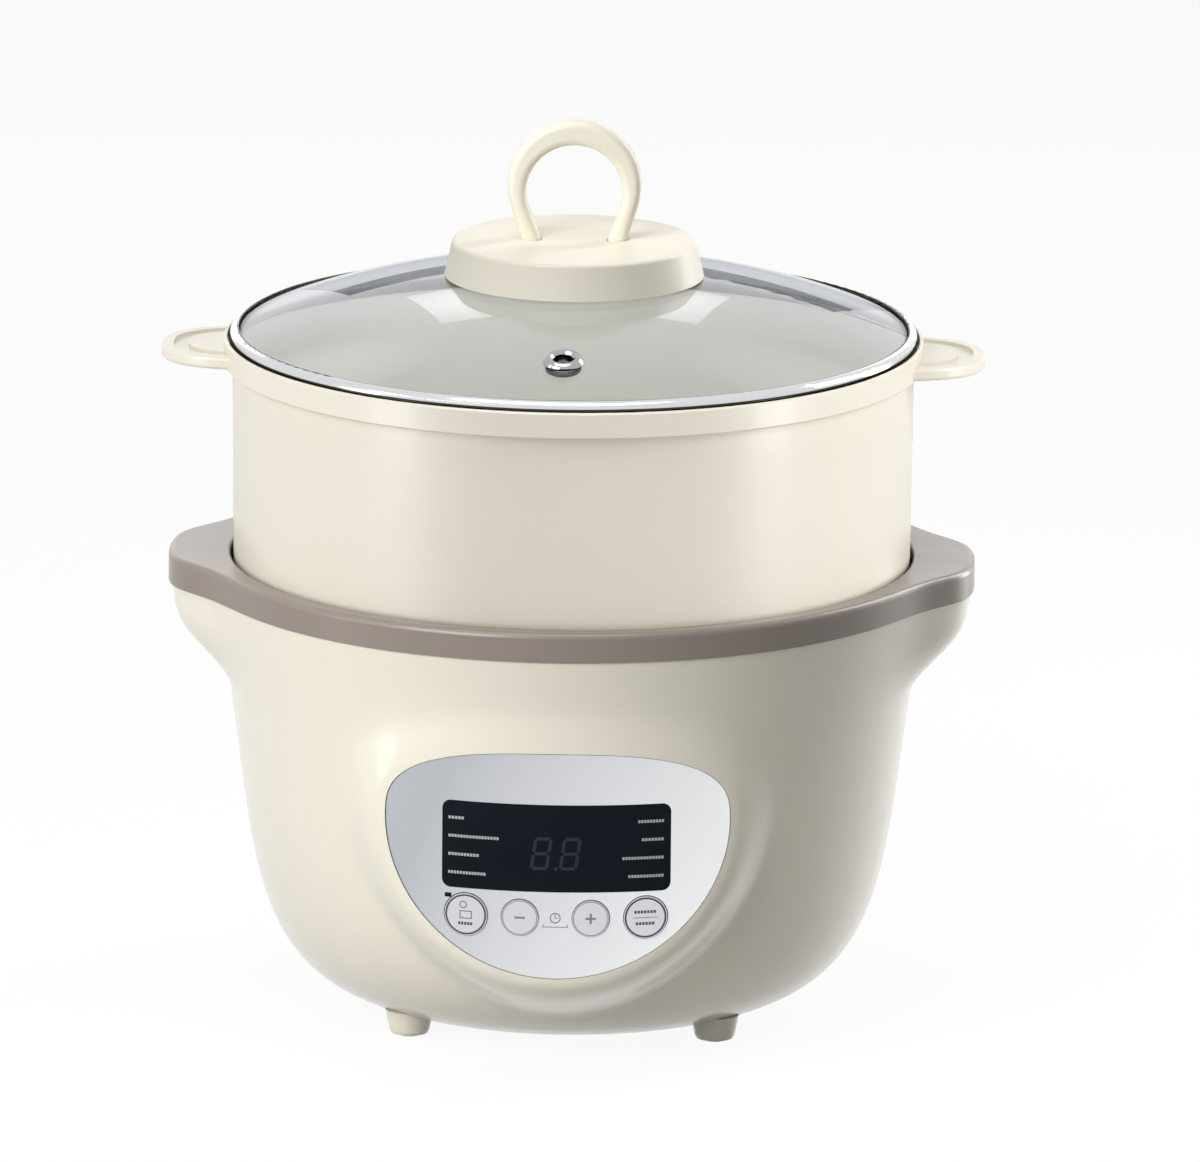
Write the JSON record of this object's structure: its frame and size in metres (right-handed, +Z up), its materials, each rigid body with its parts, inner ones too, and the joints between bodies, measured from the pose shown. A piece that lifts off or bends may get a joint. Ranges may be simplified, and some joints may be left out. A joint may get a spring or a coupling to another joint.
{
  "type": "electric stew pot",
  "caption": "Countertop electric stew pot: cream heater base with a panel and push buttons, ceramic inner pot, steamer tier with tab handles, domed glass lid with a loop knob.",
  "frame": {"origin": "on the pot's upright axis, at the level of the table under the foot pads", "axes": "+Z up, -Y the front with the control panel, +X to the right seen from the front"},
  "size_m": [0.286, 0.253, 0.3142],
  "materials": {
    "cream_plastic": "glossy cream injection moulding",
    "steamer_plastic": "glossy cream injection moulding",
    "taupe_plastic": "satin taupe moulding",
    "silver_panel": "silver-white lacquered face plate",
    "smoked_window": "smoked clear plastic",
    "button_plastic": "satin silver-white caps with a dark ring",
    "lid_glass": "clear toughened glass",
    "lid_steel": "polished stainless steel",
    "pot_ceramic": "white glaze",
    "heater_aluminium": "drawn and cast aluminium",
    "element_steel": "heat-tinted tube",
    "screw_steel": "zinc-plated",
    "silicone": "grey silicone",
    "circuit_board": "green solder mask",
    "black_plastic": "black moulding",
    "white_plastic": "natural nylon",
    "cover_plastic": "textured underside moulding",
    "pin_brass": "plated contact pins",
    "wire_insulation": "silicone-glass wire sleeve",
    "cable_insulation": "flat ribbon cable",
    "copper_winding": "varnished core and winding",
    "capacitor_sleeve": "printed sleeve left bare"
  },
  "bodies": {
    "base": {"outer_housing": "cream_plastic", "front_left_foot": "cream_plastic", "rear_left_foot": "cream_plastic", "front_right_foot": "cream_plastic", "rear_right_foot": "cream_plastic", "top_rim": "taupe_plastic", "control_panel": "silver_panel", "display_window": "smoked_window", "heating_well": "heater_aluminium", "heating_plate": "heater_aluminium", "heat_shield": "heater_aluminium", "thermal_fuse": "heater_aluminium", "heating_element": "element_steel", "shield_spacers": "element_steel", "temperature_sensor": "element_steel", "rim_screws": "screw_steel", "cover_screws": "screw_steel", "foot_screws": "screw_steel", "plate_nuts": "screw_steel", "shield_screws": "screw_steel", "board_screws": "screw_steel", "panel_screws": "screw_steel", "foot_pads": "silicone", "well_seal": "silicone", "power_board": "circuit_board", "control_board": "circuit_board", "heater_relay": "black_plastic", "switch_bodies": "black_plastic", "power_inlet": "black_plastic", "thermostat": "black_plastic", "display_module": "black_plastic", "terminal_block": "white_plastic", "base_cover": "cover_plastic", "inlet_pins": "pin_brass", "inlet_leads": "wire_insulation", "heater_leads": "wire_insulation", "panel_cable": "cable_insulation", "power_transformer": "copper_winding", "filter_capacitor": "capacitor_sleeve"},
    "inner_pot": {"ceramic_pot": "pot_ceramic"},
    "steamer": {"steamer_basket": "steamer_plastic"},
    "lid": {"glass_lid": "lid_glass", "lid_rim": "lid_steel", "vent_eyelet": "lid_steel", "knob_disc": "cream_plastic", "knob_loop": "cream_plastic", "loop_screws": "screw_steel", "knob_gasket": "silicone", "knob_washer": "screw_steel", "knob_screw": "screw_steel"},
    "preset": {"preset_button": "button_plastic", "preset_plunger": "black_plastic"},
    "time_minus": {"time_minus_button": "button_plastic", "time_minus_plunger": "black_plastic"},
    "time_plus": {"time_plus_button": "button_plastic", "time_plus_plunger": "black_plastic"},
    "function": {"function_button": "button_plastic", "function_plunger": "black_plastic"}
  },
  "joints": [
    {"name": "pot_lift", "type": "slide", "parent": "base", "child": "inner_pot", "axis": [0, 0, 1], "range_m": [0, 0.13]},
    {"name": "steamer_lift", "type": "slide", "parent": "inner_pot", "child": "steamer", "axis": [0, 0, 1], "range_m": [0, 0.1]},
    {"name": "lid_lift", "type": "slide", "parent": "steamer", "child": "lid", "axis": [0, 0, 1], "range_m": [0, 0.12]},
    {"name": "preset_press", "type": "slide", "parent": "base", "child": "preset", "axis": [0, 1, 0], "range_m": [0, 0.0006], "stiffness_N_per_m": 2000},
    {"name": "time_minus_press", "type": "slide", "parent": "base", "child": "time_minus", "axis": [0, 1, 0], "range_m": [0, 0.0006], "stiffness_N_per_m": 2000},
    {"name": "time_plus_press", "type": "slide", "parent": "base", "child": "time_plus", "axis": [0, 1, 0], "range_m": [0, 0.0006], "stiffness_N_per_m": 2000},
    {"name": "function_press", "type": "slide", "parent": "base", "child": "function", "axis": [0, 1, 0], "range_m": [0, 0.0006], "stiffness_N_per_m": 2000}
  ]
}
